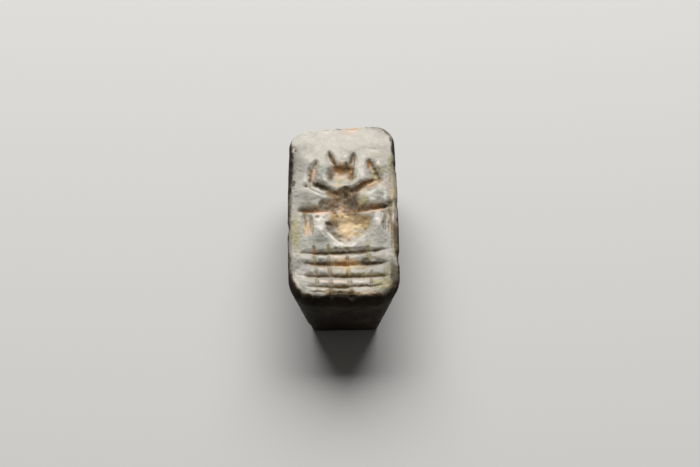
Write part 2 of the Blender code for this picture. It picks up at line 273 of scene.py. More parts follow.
def gouge(x, y, start, end, widths, depth, bow, left_share, ends, profiles):
    """Depth of a boat-shaped cut at each point, negative outside it.

    Along it the depth follows the square root of 1 - |2t - 1|^ends, and across it the cut's
    own profile on either side. By the same root it narrows to about a third at its ends.
    """
    run_x, run_y = end[0] - start[0], end[1] - start[1]
    length = math.hypot(run_x, run_y)
    t = ((x - start[0]) * run_x + (y - start[1]) * run_y) / length ** 2
    off = ((y - start[1]) * run_x - (x - start[0]) * run_y) / length - bow * 4 * t * (1 - t)
    fullness = 1 - np.abs(2 * t - 1) ** ends
    fullness = np.sign(fullness) * np.sqrt(np.abs(fullness))
    width = widths[0] + (widths[1] - widths[0]) * np.clip(t, 0, 1)
    width = width * (0.35 + 0.65 * np.clip(fullness, 0, 1))
    half = width * np.where(off > 0, left_share, 1 - left_share)
    shape = across_cut(np.abs(off) / half, np.where(off > 0, profiles[0], profiles[1]))
    return sunk_by(np.clip(fullness, -3, 1) - 1 + shape, depth)


def drill(x, y, centre, half_sizes, depth, wall):
    """Depth of a round or oval pit, its profile running out from its middle."""
    r = np.hypot((x - centre[0]) / half_sizes[0], (y - centre[1]) / half_sizes[1])
    return sunk_by(across_cut(r, wall), depth)


def smooth_loop(points, steps):
    """A closed Catmull-Rom curve through a few points."""
    here = np.array(points, float)
    before, after, beyond = (np.roll(here, shift, axis=0) for shift in (1, -1, -2))
    t = np.linspace(0, 1, steps, endpoint=False)[None, :, None]
    before, here, after, beyond = (corner[:, None, :] for corner in (before, here, after, beyond))
    curve = 0.5 * (2 * here + (after - before) * t
                   + (2 * before - 5 * here + 4 * after - beyond) * t ** 2
                   + (3 * here - before - 3 * after + beyond) * t ** 3)
    return curve.reshape(-1, 2)


def inside_loop(x, y, loop):
    """Distance to a closed loop's nearest side, positive inside it and negative outside."""
    nearest = np.full(x.shape, 1e9)
    crossings = np.zeros(x.shape, int)
    for (ax, ay), (bx, by) in zip(loop, np.roll(loop, -1, axis=0)):
        side_x, side_y = bx - ax, by - ay
        t = np.clip(((x - ax) * side_x + (y - ay) * side_y) / (side_x ** 2 + side_y ** 2), 0, 1)
        nearest = np.minimum(nearest, np.hypot(x - ax - t * side_x, y - ay - t * side_y))
        if side_y:
            crossings += ((ay > y) != (by > y)) & (x < ax + (y - ay) * side_x / side_y)
    return np.where(crossings % 2 == 1, nearest, -nearest)


def on_face(x, y):
    """The same points as places on the flat face, for the random fields."""
    return np.stack([x, y, np.zeros_like(x)], axis=-1)


def carve(x, y):
    """(depth of all the cuts together, depth of the strokes alone, the belly's near wall).

    The hand's wobble moves the points first. Cuts join softly, and the same form wears
    their lips round.
    """
    spots = on_face(x, y)
    wobble_x = HAND_WOBBLE * fractal(spots, 1.7, 3, 11) + TOOL_WOBBLE * fractal(spots, 0.5, 2, 13)
    wobble_y = HAND_WOBBLE * fractal(spots, 1.7, 3, 17) + TOOL_WOBBLE * fractal(spots, 0.5, 2, 19)
    x, y = x + wobble_x, y + wobble_y
    figure = [gouge(x, y, *cut) for cut in FIGURE] + [drill(x, y, *pit) for pit in DRILLED]
    for outline, deep, (near_wall, far_wall), (low_y, high_y), profile, near_share in HOLLOWS:
        wall = near_wall + (far_wall - near_wall) * step_up(y, low_y, high_y)
        eased = step_up(y, low_y - FLOOR_EASES[0], high_y - FLOOR_EASES[1])
        from_edge = inside_loop(x, y, smooth_loop(outline, LOOP_STEPS))
        within = from_edge / wall
        shape = np.where(within < 0, 2 * within, 1 - (1 - np.clip(within, 0, 1)) ** profile)
        figure.append(deep * (near_share + (1 - near_share) * eased) * shape)
    # The last hollow is the belly. Its bevel is the upper part of its near wall, from its edge to
    # about 0.8 in, and it runs further up on the right (x over 0.5) than on the left.
    bevel = step_up(from_edge, -0.1, 0.2) * (1 - step_up(from_edge, 0.60, 0.95))
    bevel *= step_up(-y, np.where(x > 0.5, 0.9, 3.3), np.where(x > 0.5, 2.2, 4.3))
    groups = []
    for cuts in (figure, [gouge(x, y, *row) for row in ROWS], [gouge(x, y, *stroke) for stroke in STROKES]):
        depth = np.full(x.shape, -1.0)
        for cut in cuts:
            depth = joined(depth, cut, JOIN)
        groups.append(depth)
    depth = groups[0]
    for other in groups[1:]:
        depth = joined(depth, other, CROSSING)
    tooled = TOOL_MARKS * fractal(spots, 0.5, 3, 23) * step_up(depth, 0.1, 0.5)
    uneven = 1 + DEPTH_VARIES * fractal(spots, 2.0, 3, 29)
    depth = depth * uneven + tooled
    depth = joined(depth, 0.0, LIP) - 0.5 * LIP * step_up(-depth, 0.0, 0.4)
    return depth, groups[2], bevel


# ---------------------------------------------------------------------------------------
# Wear. The ground face has gone uneven, the rim is rubbed round and chipped, and the walls
# keep the long shallow marks of their grinding.

CHIPS = (
    # centre, reach, depth
    ((-0.2, 18.5, 14.8), 0.75, 0.5),
    ((1.9, 18.9, 14.9), 1.7, 0.35),
    ((-2.8, 18.1, 15.1), 0.8, 0.25),
    ((-9.2, 12.2, 14.6), 0.9, 0.22),
    ((-9.3, 10.0, 14.6), 1.0, 0.22),
    ((-8.9, 13.6, 14.8), 0.7, 0.18),
    ((9.6, 9.6, 14.4), 1.2, 0.3),
    ((-0.6, -18.0, 14.9), 2.7, 0.45),
    ((-6.3, -18.0, 14.6), 1.0, 0.35),
    ((1.3, -17.6, 14.6), 0.8, 0.35),
    ((5.3, -18.2, 14.2), 1.6, 0.3),
    ((9.6, 1.6, 14.3), 1.3, 0.3),
    ((-9.9, -3.0, 13.8), 1.5, 0.2),
    ((9.8, -9.4, 13.9), 1.6, 0.25),
    ((-7.0, 2.5, 2.0), 1.6, 0.3),
    ((6.6, -9.0, 1.0), 1.8, 0.35),
    ((-6.2, -15.6, 1.2), 1.5, 0.35),
    ((5.9, 15.7, 0.8), 1.4, 0.3),
)
SWELLS = (
    # centre, half sizes, turn in degrees, height
    ((-4.3, -2.6), (1.0, 1.7), 0, 0.10),
    ((6.2, -1.3), (0.9, 1.4), 0, 0.12),
    ((-4.1, -6.4), (1.6, 0.7), 0, -0.12),
    ((6.6, -5.2), (1.7, 1.3), 0, -0.08),
    ((-6.6, 2.5), (1.3, 0.8), -20, -0.09),
    ((6.9, 3.4), (1.0, 1.4), 0, -0.06),
    ((-3.6, 8.6), (0.8, 1.8), 0, 0.05),
    ((3.6, 8.2), (0.9, 1.7), 0, 0.06),
    ((-4.8, 14.2), (1.3, 0.5), 0, -0.05),
    ((5.8, 13.3), (0.9, 0.35), 0, -0.05),
    ((0.4, -16.9), (2.2, 0.8), 0, -0.25),
)
UNEVEN, ROUGH, GRINDING = 0.035, 0.05, 0.05     # broad unevenness, roughness, grinding marks
CHIP_RAGGED = 0.35
COARSE, FINE, FACE_SUNK = 0.055, 0.04, 0.04     # two random fields of the face, and how far it sank


def wear(points, normals, rough):
    """Moves points in along their normals: broad unevenness, finer roughness, and chips.

    A chip is a bite of depth times 1 - (d / reach)^2, with d the distance to its centre and
    its reach made ragged by a random field.
    """
    inwards = UNEVEN + UNEVEN * fractal(points, 6.0, 2, 31)
    inwards = inwards + rough * (ROUGH + ROUGH * fractal(points, 1.6, 3, 41))
    marks = fractal(points * (1.0, 1.0, 0.22), 0.8, 3, 47)
    inwards = inwards + rough * GRINDING * np.clip(marks - 0.1, 0, 1)
    ragged = 1 + CHIP_RAGGED * fractal(points, 0.9, 2, 51)
    for centre, reach, deep in CHIPS:
        d = np.linalg.norm(points - centre, axis=-1) / (reach * ragged)
        inwards = inwards + deep * np.clip(1 - d * d, 0, 1)
    return points - normals * inwards[..., None]


def oval(x, y, centre, half_sizes, turn=0):
    """How far out a point is in an oval turned anticlockwise: 0 in its middle, 1 on its edge."""
    c, s = math.cos(math.radians(turn)), math.sin(math.radians(turn))
    from_x, from_y = x - centre[0], y - centre[1]
    return np.hypot((from_x * c + from_y * s) / half_sizes[0], (from_y * c - from_x * s) / half_sizes[1])


def lifted(x, y):
    """Height of the broad swells and hollows of the face: each is height times e^(-r^2).

    Two random fields make the face uneven between them, more where it was worked than at
    its bare far end.
    """
    total = np.zeros(x.shape)
    for centre, half_sizes, turn, height in SWELLS:
        total += height * np.exp(-oval(x, y, centre, half_sizes, turn) ** 2)
    spots = on_face(x, y)
    worked = 0.35 + 0.65 * step_up(-y, -13.0, -9.0)
    uneven = COARSE * fractal(spots, 1.5, 3, 61) + FINE * fractal(spots, 0.5, 2, 67)
    return total + worked * uneven - FACE_SUNK


def blurred(grid, passes):
    """A grid smoothed by so many passes of the weights 1, 2, 1 along both of its axes."""
    for _ in range(passes):
        for axis in (0, 1):
            padded = np.pad(grid, [(1, 1) if a == axis else (0, 0) for a in (0, 1)], mode="edge")
            before, after = np.delete(padded, [-1, -2], axis), np.delete(padded, [0, 1], axis)
            grid = 0.5 * grid + 0.25 * (before + after)
    return grid


# The face and the sides, worn in along their normals and then carved straight down
upright = np.zeros_like(face)
upright[..., 2] = 1.0
face_depth, face_strokes, face_bevel = (blurred(cut, 2) for cut in carve(face_x, face_y))
face_relief = lifted(face_x, face_y) - face_depth
face_worn = wear(face, upright, np.zeros_like(face_x))
face_worn[..., 2] += face_relief

outwards = np.cross(np.gradient(sides, axis=0), np.roll(sides, -1, axis=1) - np.roll(sides, 1, axis=1))
outwards /= np.linalg.norm(outwards, axis=-1, keepdims=True)
outwards[0] = (0.0, 0.0, 1.0)
level_z = np.array([z for _, _, z in levels])[:, None]
# How far out over the rim a ring lies, and below the rim how far down; the carving fades there
rim_out = np.array([RIM_INSET - inset_x if z >= SHOULDER else RIM_INSET + SHOULDER - z
                    for inset_x, _, z in levels])[:, None] + np.zeros(sides.shape[:2])
still_face = 1 - step_up(rim_out, 0.3, 1.1)
side_depth, side_strokes, side_bevel = (cut * still_face for cut in carve(sides[..., 0], sides[..., 1]))
side_relief = lifted(sides[..., 0], sides[..., 1]) * still_face - side_depth
sides_worn = wear(sides, outwards, step_up(rim_out, 0.0, 1.0))
sides_worn[..., 2] += side_relief
off_table = step_up(level_z, 0.0, 0.6)[..., None]
sides_worn = sides_worn * off_table + sides * (1 - off_table)

# One closed sheet: the face, the rings below its edge, and the flat back
face_number = np.arange(face_x.size).reshape(face_x.shape)
lower = np.concatenate([sides_worn[1:], back])
ring_number = face_x.size + np.arange(lower.shape[0] * lower.shape[1]).reshape(lower.shape[:2])
ring_number = np.concatenate([edge_of(face_number)[None], ring_number])
middle_number = ring_number[-1, -1] + 1
vertices = np.concatenate([face_worn.reshape(-1, 3), lower.reshape(-1, 3), [[0.0, 0.0, 0.0]]])
face_quads = np.stack([face_number[:-1, :-1], face_number[:-1, 1:],
                       face_number[1:, 1:], face_number[1:, :-1]], axis=-1)
side_quads = np.stack([ring_number[:-1], ring_number[1:], np.roll(ring_number[1:], -1, axis=1),
                       np.roll(ring_number[:-1], -1, axis=1)], axis=-1)
fan = np.stack([ring_number[-1], np.full_like(ring_number[-1], middle_number),
                np.roll(ring_number[-1], -1)], axis=-1)
block_mesh = bpy.data.meshes.new("stone_block")
block_mesh.from_pydata((vertices * MM).tolist(), [],
                       face_quads.reshape(-1, 4).tolist() + side_quads.reshape(-1, 4).tolist() + fan.tolist())


# ---------------------------------------------------------------------------------------
# The cord hole. It was bored across the narrow back from both sides, so it is a little
# narrower in the middle, and the cord has since rubbed its mouths wider.

HOLE_RADIUS, HOLE_HEIGHT, HOLE_FLARE, HOLE_SIDES = 1.3, 4.4, 0.35, 40
bore_x = np.array([-10.0, -7.4, -6.6, 0.0, 6.6, 7.4, 10.0])
bore_radius = HOLE_RADIUS + HOLE_FLARE * np.array([3.5, 1.0, 0.1, -0.1, 0.1, 1.0, 3.5])
turn = np.linspace(0, 2 * np.pi, HOLE_SIDES, endpoint=False)
bore_rings = np.stack([np.repeat(bore_x[:, None], HOLE_SIDES, axis=1), bore_radius[:, None] * np.cos(turn),
                       HOLE_HEIGHT + bore_radius[:, None] * np.sin(turn)], axis=-1)
bore_number = np.arange(bore_x.size * HOLE_SIDES).reshape(bore_x.size, HOLE_SIDES)
bore_quads = np.stack([bore_number[:-1], np.roll(bore_number[:-1], -1, axis=1),
                       np.roll(bore_number[1:], -1, axis=1), bore_number[1:]], axis=-1)
bore_mesh = bpy.data.meshes.new("cord_bore")
bore_mesh.from_pydata((bore_rings.reshape(-1, 3) * MM).tolist(), [],
                      bore_quads.reshape(-1, 4).tolist()
                      + [bore_number[0, ::-1].tolist(), bore_number[-1].tolist()])


# ---------------------------------------------------------------------------------------
# What lies on the stone, and what is painted light and shade. Hand grease and rubbing have
# paled the face, brown and black dirt sits in the cuts, tan earth is packed into the deep
# ones, and an olive bloom runs up the edges. Painted shade darkens the dirt on slopes turned
# from the window and in small hollows, and lies in grey patches and a little of the black;
# painted sheen and highlights pale the far end, the crests, the bevel and other slopes that
# face the window. Each is a mask from 0 to 1, painted in soft ovals and by the relief.

PAINT = {
    # across, along, half width, half length, amount and, where it is turned, degrees; far end first
    # darker patches, partly the stone's own mottling and partly painted shade where the relief turns from the
    # window
    "grey_and_shade": (
        (-2.8, 17.6, 0.9, 0.3, 0.9), (-3.7, 14.8, 0.35, 0.12, 0.8, -10), (-4.8, 14.2, 1.2, 0.4, 0.35),
        (5.8, 13.3, 0.9, 0.35, 0.5), (2.3, 11.3, 0.2, 1.3, 1), (1.9, 11.2, 0.3, 0.8, 0.8),
        (-7.5, 9.8, 0.9, 2.5, 0.35), (7.6, 9.3, 0.9, 0.5, 1, 38), (-3.6, 7.9, 0.8, 1.8, 0.3),
        (-2.3, 7.8, 0.5, 1.6, 0.9), (6.1, 6.2, 0.6, 0.8, 0.4), (0.1, 5.5, 1, 0.3, 0.4),
        (4.9, 5.1, 1.8, 0.5, 0.5, 32), (4.8, 4.6, 0.6, 0.35, 0.8, 32), (7, 3.6, 1, 0.7, 0.5),
        (-6.4, 2.8, 1.6, 1, 0.5, -20), (-5.4, 1.4, 1.2, 0.35, 0.6), (-6.2, 1, 1.6, 0.4, 0.6),
        (-6.5, 0.5, 1.4, 0.5, 1), (7.35, -2, 0.35, 2.2, 1), (-7.5, -2.2, 0.3, 1.8, 0.5),
        (6.2, -2.4, 0.3, 0.9, 0.6), (-2.2, -3.3, 0.9, 1, 1, 20), (-1.7, -4.3, 0.8, 1.2, 1, 28),
        (4, -4.6, 0.6, 1.6, 0.35, -52), (-3.9, -5.1, 0.3, 1.2, 0.8, 30), (4.6, -5.2, 0.5, 1.4, 0.6, -50),
        (-3.8, -5.3, 0.4, 1.4, 0.7, 30), (-1.1, -5.3, 0.4, 0.8, 0.8, 32), (6.4, -6, 1.8, 1.6, 0.6),
        (-4.2, -6.3, 2, 1, 0.8), (4.2, -7, 0.7, 1.2, 0.6), (-5.2, -7.2, 0.3, 0.9, 0.6),
        (6.5, -10, 1.2, 0.6, 0.5), (-7.4, -10.4, 1.4, 0.7, 0.9), (6.5, -10.4, 1.2, 0.5, 0.8),
        (-7.6, -10.9, 1.3, 0.45, 1), (-8.2, -11.3, 0.8, 0.8, 0.8), (-8.8, -11.6, 0.5, 1.4, 0.8),
        (-7.6, -12.6, 1, 1.2, 0.4), (8, -13.2, 1.5, 3.4, 1), (7.6, -14.8, 0.7, 1.2, 1),
        (-6.6, -15.6, 1.2, 0.8, 0.8, -20), (-2.4, -16.1, 2.2, 0.3, 0.7), (-4.8, -16.2, 1.8, 0.5, 1),
        (6, -16.4, 2.2, 0.7, 1), (3, -17, 1.6, 0.4, 1), (0, -17.2, 7.5, 0.6, 0.6),
    ),
    # paled by rubbing; over the far end it is painted sheen, and on some slopes that face the window it is
    # painted light
    "pale": (
        (0, 15.8, 10, 2.8, 1), (4.5, 12.8, 3, 1.4, 0.6), (-3.5, 12.3, 4.2, 2.4, 0.85),
        (0.1, 12.3, 1.4, 1.2, 0.6), (2.05, 11.3, 0.2, 0.9, 0.7), (-0.4, 10.6, 1, 0.6, 0.8),
        (3.6, 10.6, 0.9, 3.4, 0.8), (2.8, 10, 0.5, 3.4, 1), (3.6, 7.9, 1, 1.4, 0.5), (7, 5.2, 1, 1.2, 0.6),
        (-4.3, 4.75, 1.8, 0.26, 0.6, -30), (-5.2, 4.25, 2.1, 0.3, 0.6, -27), (5.2, 4, 1.2, 0.2, 0.8, 35),
        (5.4, 2.4, 0.9, 0.5, 0.6), (-3, -1.3, 0.9, 0.9, 1), (8.8, -1.4, 0.25, 1.2, 0.9),
        (6.2, -1.6, 0.6, 1.6, 0.9), (0.6, -2, 1.6, 1.8, 0.9), (5.6, -2.2, 0.3, 1.4, 0.5, -14),
        (-4.3, -2.3, 1.2, 2, 1), (0.3, -5.7, 1.3, 0.9, 0.7), (0.2, -7, 1.6, 0.5, 0.6),
        (4, -7.9, 3.2, 0.4, 0.8, 3), (7.9, -9, 0.9, 0.6, 0.6), (0, -9.4, 5.5, 0.3, 0.4),
        (0, -12, 6, 0.5, 0.3), (-7.6, -13.2, 1.2, 1.6, 0.7), (0, -14.5, 6, 0.4, 0.3),
        (-8.3, -15, 0.7, 1.4, 0.7, 25), (-6, -15.4, 1.8, 0.6, 0.6, -25), (4.6, -16.3, 2.6, 0.5, 0.4),
        (4.5, -17, 1.5, 0.35, 0.9),
    ),
    # chalky rubbed spots, and painted highlights on swells, ridges and bevels that face the window
    "chalk_and_highlight": (
        (0.6, 12, 0.3, 0.4, 0.5), (5.3, 10.9, 0.35, 0.3, 0.6), (6.6, 10.1, 0.3, 0.7, 0.8),
        (3.6, 8.2, 0.7, 0.8, 0.6), (-3.2, 7.4, 0.5, 1, 0.5), (-6.6, 7, 0.6, 1.6, 0.5),
        (-6, 4.75, 1.1, 0.3, 0.6, -28), (-4.2, 4.7, 1.6, 0.3, 0.4, -30), (-5.2, 4.2, 1.8, 0.3, 0.35, -27),
        (4.9, 4.1, 0.9, 0.3, 0.5, 35), (7.6, 3.6, 0.4, 1.2, 0.5), (5.4, 2.5, 0.8, 0.4, 0.6),
        (-4, -0.7, 1.2, 0.35, 0.4), (6.1, -1, 0.7, 1.1, 0.7), (7, -1, 0.25, 0.9, 0.6),
        (8.8, -1.6, 0.25, 1.1, 0.8), (-4, -2.5, 0.9, 1.8, 0.65), (-1.3, -7, 0.7, 0.7, 0.6),
        (1.6, -7.2, 1, 0.4, 0.6, 30), (-3.8, -9.4, 0.9, 0.25, 0.45), (-1, -9.4, 1, 0.25, 0.45),
        (2.2, -9.4, 1.2, 0.25, 0.4), (-3.8, -11.8, 0.9, 0.3, 0.4), (0, -12.1, 4.4, 0.3, 0.2),
        (-3.6, -14.3, 0.8, 0.3, 0.4), (-1, -14.4, 1.2, 0.3, 0.45), (2.6, -14.5, 1.4, 0.3, 0.5),
        (5.4, -14.9, 2.2, 0.3, 0.5), (-3.8, -16, 1, 0.25, 0.5),
    ),
    "olive": (
        (6.5, 12.3, 2, 0.9, 0.35), (-4.9, 10.1, 0.5, 0.6, 0.6), (1.2, 10.1, 0.5, 0.5, 0.7),
        (8.8, 9.6, 0.6, 2.8, 0.9), (6.9, 8.8, 0.4, 1.6, 0.9, 14), (5.8, 8, 0.55, 1.7, 1, 14),
        (1.9, 7.4, 0.4, 0.8, 0.9), (-0.5, 6.9, 0.6, 0.8, 0.8), (-5.9, 5.4, 0.4, 0.4, 0.9),
        (9.1, 4, 0.5, 5, 0.6), (-1, 3.6, 1.1, 1.4, 0.6), (-2.2, 3.3, 1.4, 0.6, 0.8, -35),
        (3.9, 2.5, 0.9, 1.2, 1), (3.1, 1.9, 1.1, 1.2, 1), (3.7, 1.8, 0.9, 0.6, 1),
        (-4.3, 1.3, 1.2, 0.5, 0.5), (8.5, 1, 0.7, 3, 0.5), (-3.2, 0.9, 0.9, 0.35, 0.9, 5),
        (-6.8, -0.3, 0.6, 0.5, 1), (-8.4, -2, 0.6, 2, 0.5), (-1, -2.4, 0.6, 1.8, 0.7, 10),
        (3.4, -2.4, 1.5, 1.9, 0.8), (2.7, -4.5, 0.6, 0.5, 0.9), (-8.5, -4.6, 0.9, 4, 0.85),
        (-0.8, -4.6, 0.4, 0.9, 0.7, 15), (-8.6, -5.8, 0.4, 1.8, 1), (9.2, -6.3, 0.5, 3.6, 1),
        (0.3, -6.6, 0.7, 0.35, 0.7), (4.3, -7.4, 0.6, 0.8, 0.6), (0.6, -7.9, 0.7, 0.4, 0.8),
        (-2.7, -8, 0.4, 1, 0.9), (4.3, -9.3, 0.7, 0.9, 0.8), (2.6, -11.9, 0.6, 0.4, 1),
        (2, -13.2, 4.4, 0.5, 0.8), (6, -13.3, 1.2, 0.35, 1), (7.8, -13.6, 1.2, 3, 0.6),
        (6, -14.6, 1.7, 0.5, 0.9), (6.6, -15.6, 1.2, 0.8, 0.8), (8.5, -15.8, 1, 1, 1),
        (-1.2, -16.4, 3, 0.4, 0.7), (0.6, -16.9, 3, 0.4, 0.9), (-6.5, -17.2, 0.9, 0.4, 0.8),
    ),
    "earth": (
        (2, 18.1, 1.7, 0.7, 0.65), (-0.4, 10.6, 0.9, 0.5, 0.7), (-0.3, 10.1, 0.9, 0.6, 0.7),
        (7.4, 8.6, 0.9, 1, 0.25), (-0.1, 8.5, 1.6, 0.7, 0.6), (-5.2, 8.1, 0.45, 1.5, 0.5, -5),
        (0.1, 7.6, 1.2, 0.9, 0.3), (-0.9, 7.4, 0.6, 0.7, 0.5), (0.9, 7.3, 0.6, 0.9, 0.4),
        (-5.7, 6.3, 0.45, 0.9, 0.3, -5), (6.1, 6.3, 0.6, 0.9, 0.5), (1.9, 5.9, 0.8, 0.6, 0.35),
        (-0.8, 5.7, 1.8, 0.5, 0.55), (5.5, 5.7, 1.6, 0.6, 0.6, 32), (3.6, 4.5, 1, 0.5, 0.4, 32),
        (8.9, 4.5, 0.5, 5, 0.4), (8.75, 3, 0.3, 1.4, 0.7), (-1.9, 1.6, 0.8, 0.8, 0.35),
        (9.1, 1, 0.45, 3, 0.35), (-0.15, 0.6, 0.4, 1.2, 0.9), (5.5, -0.1, 2, 0.25, 0.7, 8),
        (-3.7, -0.3, 1.7, 0.45, 0.7), (-1.7, -0.8, 1, 1.1, 0.8), (0, -0.9, 2.6, 1, 0.9),
        (8, -0.9, 0.32, 1.4, 0.6), (2, -1.6, 2.6, 1.2, 0.5), (3.2, -2.2, 1.9, 1.7, 0.7),
        (0.8, -2.9, 1.8, 2.6, 0.85), (-5.8, -3, 0.4, 2.2, 0.8), (-6.6, -3.4, 0.5, 2, 0.8),
        (8.3, -3.7, 0.3, 1, 0.45), (2.6, -4.3, 1, 0.7, 0.55, -30), (-6.2, -4.5, 0.8, 0.8, 0.7),
        (0.9, -5.2, 1, 0.8, 0.45), (0.2, -10.2, 2.9, 0.7, 0.8), (0.2, -10.8, 3.2, 0.8, 0.8),
        (-0.5, -12.4, 2, 0.5, 0.5), (6.8, -15.4, 1.4, 0.6, 0.4), (4.6, -16.7, 2.6, 0.5, 0.4),
    ),
    "salmon": (
        (2, 18, 1.4, 0.5, 0.7), (1.2, 17, 1.4, 0.4, 0.8), (-0.1, 8.3, 1.4, 0.5, 0.6),
        (-5.3, 8.2, 0.4, 1.4, 0.9, -5), (0.9, 7.4, 0.5, 0.6, 0.25), (7.6, 6, 0.6, 1.4, 0.6),
        (5.2, 5.3, 1.6, 0.4, 0.6, 32), (-0.15, 0.5, 0.45, 1.2, 1), (5.6, 0, 2.2, 0.35, 0.9, 6),
        (-4.3, -0.5, 1.6, 0.5, 0.8), (-6.2, -4.4, 0.8, 1, 0.8), (0.6, -5.4, 1.2, 0.8, 0.35),
        (-5.2, -8.6, 0.4, 1.4, 0.9), (-1.5, -9.3, 1.8, 0.35, 0.7), (6.5, -9.4, 1.2, 0.6, 0.5),
        (0.4, -10.6, 0.6, 0.9, 1), (-2.9, -11.5, 1.4, 0.35, 0.7), (-3.4, -14.3, 1, 0.4, 0.7),
        (-1, -14.3, 1.8, 0.4, 0.7),
    ),
    "rust": (
        (2, 18, 1.5, 0.4, 0.5), (-1.45, 10.9, 0.3, 1.3, 0.6, 19), (4.9, 10.5, 0.3, 0.8, 1, -5),
        (-0.3, 10.1, 1, 0.3, 0.3), (-1.4, 9.9, 0.5, 0.6, 0.9), (5.1, 9.9, 0.45, 1.2, 0.7, 14),
        (0, 9.4, 2, 0.6, 1), (1.6, 8.4, 0.45, 1, 1), (-5.8, 8.2, 0.25, 1.3, 0.5, -4),
        (-1.9, 6.9, 0.4, 0.7, 0.4), (6.8, 6.9, 0.35, 0.7, 0.7), (1.8, 6.8, 0.4, 0.7, 0.4),
        (4, 6.1, 1.8, 0.45, 1, 32), (5.2, 5.4, 2, 0.5, 0.5, 32), (8.75, 3.6, 0.3, 1.8, 0.4),
        (8.8, 3.6, 0.4, 3.6, 0.3), (-1.5, 3.2, 0.9, 0.8, 0.5, -30), (-1.5, 2.9, 0.9, 1.3, 0.4, -30),
        (3.2, 1.6, 1, 0.8, 0.3), (2.6, 0.2, 1.6, 0.5, 0.5), (6.6, 0.2, 1.2, 0.3, 0.5, 8),
        (-6.4, 0.1, 1.4, 0.3, 0.5, 4), (2.4, -0.1, 2, 0.3, 0.6), (5.6, -0.2, 2, 0.4, 0.5, 8),
        (-1.9, -0.4, 1.1, 0.7, 0.6), (-6.7, -1.6, 0.35, 1.2, 0.4, 2), (-1.2, -1.8, 0.6, 1.2, 0.35, 15),
        (-5.8, -2.4, 0.3, 1.9, 0.7, 3), (8.2, -2.4, 0.4, 2.4, 0.4), (-5.2, -8.3, 0.35, 0.9, 0.8),
        (0.4, -10.3, 0.5, 0.9, 0.9), (0.2, -10.7, 2.6, 0.4, 1), (3.7, -11.8, 0.9, 0.3, 0.7),
        (1, -12, 3, 0.3, 0.45), (0.6, -12.7, 0.5, 0.8, 0.3), (-2.3, -12.8, 0.5, 0.8, 0.5),
        (-8.8, -14.6, 0.25, 1.2, 0.7, 20), (-2.2, -14.9, 0.5, 0.6, 0.5), (0.8, -15, 0.5, 0.5, 0.3),
        (-0.7, -15.2, 1.4, 0.3, 0.6), (-0.4, -16.7, 2.4, 0.5, 0.6), (-7.4, -16.8, 0.9, 0.3, 0.5, -30),
        (5.5, -17.2, 2.6, 0.4, 0.6),
    ),
    "brown": (
        (2, 18, 1.6, 0.6, 0.15), (-2.2, 12.6, 0.35, 0.7, 0.6, 15), (-2.1, 11.6, 0.3, 1, 0.7, 19),
        (1.5, 11.1, 0.35, 1.4, 1, -12), (-1.4, 10.9, 0.4, 1.7, 1, 19), (2.2, 10.8, 0.22, 1.5, 0.7, 3),
        (4.5, 10.3, 0.25, 1.2, 0.8, 14), (0, 9.8, 2.2, 0.45, 1), (0.9, 9.4, 1, 0.4, 1),
        (-1.5, 9.1, 0.6, 0.6, 0.7), (-5.75, 8.9, 0.32, 0.36, 1), (1.95, 8.9, 0.3, 0.8, 0.9),
        (5.05, 8.3, 0.2, 1.2, 0.5, 5), (-5.75, 8, 0.35, 1.6, 0.6, -4), (-2, 8, 0.5, 1.7, 0.6),
        (6.9, 8, 0.3, 1.4, 0.6, 14), (-5.9, 7.9, 0.32, 0.36, 1), (1.9, 7.8, 0.4, 1.2, 0.7),
        (-0.2, 7.6, 1.4, 1, 0.13), (-5.95, 6.95, 0.3, 0.34, 0.9), (4.5, 6.95, 0.9, 0.35, 0.9, 32),
        (8.7, 6.5, 0.4, 4, 0.4), (4, 6.4, 1.9, 0.45, 0.9, 32), (6.2, 6.3, 0.7, 0.9, 0.25),
        (5.4, 5.6, 1.5, 0.5, 0.55, 32), (2.4, 4.6, 1.2, 0.4, 1, 25), (-2.2, 3.9, 1.2, 0.5, 1, -32),
        (-0.2, 3.8, 1.6, 1.6, 0.8), (-1.7, 3, 1.2, 1.6, 0.8, -30), (-0.9, 2.8, 0.9, 1.2, 1),
        (-1.8, 2.4, 1, 1.6, 1, -20), (1.5, 2.4, 2.4, 2.6, 1), (-2.2, 1.9, 1.5, 0.8, 0.8),
        (-1.1, 1.4, 1, 0.5, 1, 10), (5.8, 1.4, 2.4, 0.6, 0.8, 6), (3.6, 1.3, 1, 0.7, 0.8),
        (-5.5, 1.2, 1.4, 0.35, 0.8, 4), (-3.2, 0.9, 1.6, 0.8, 0.6, 5), (5.6, 0.9, 2.8, 0.8, 1, 10),
        (-0.8, 0.8, 0.35, 0.25, 1), (-5.6, 0.45, 2.2, 0.6, 0.7, 3), (-1.7, 0.35, 0.7, 0.35, 1),
        (1.8, 0.2, 1.9, 0.6, 1), (-5.2, 0.15, 2.9, 0.45, 1, 4), (-1.6, -0.2, 0.7, 0.4, 1),
        (1.6, -0.45, 1.6, 0.35, 0.9), (-1, -0.8, 0.5, 0.5, 0.7), (-0.2, -0.9, 0.3, 0.4, 0.7),
        (-4.5, -1.3, 0.32, 0.28, 0.7), (4.2, -1.4, 1.3, 1.3, 0.4), (-6.75, -1.8, 0.42, 1.7, 0.9, 2),
        (-5.85, -2.2, 0.35, 1.9, 0.8, 3), (-1.3, -2.2, 0.6, 1.4, 0.35, 15), (8.7, -3, 0.25, 5, 0.5),
        (-1.9, -3.8, 0.5, 0.9, 0.35, 20), (-1.6, -3.9, 0.6, 1, 0.35, 28), (9.1, -5.2, 0.5, 4, 0.7),
        (-4, -8.4, 1.3, 0.4, 0.5), (0, -8.5, 7.2, 0.4, 0.6, 2), (-4.5, -10.8, 2.4, 0.5, 0.7),
        (0.2, -11, 2.8, 0.3, 0.2), (0.6, -12.7, 0.4, 0.7, 0.8), (0.6, -12.9, 0.3, 0.6, 1),
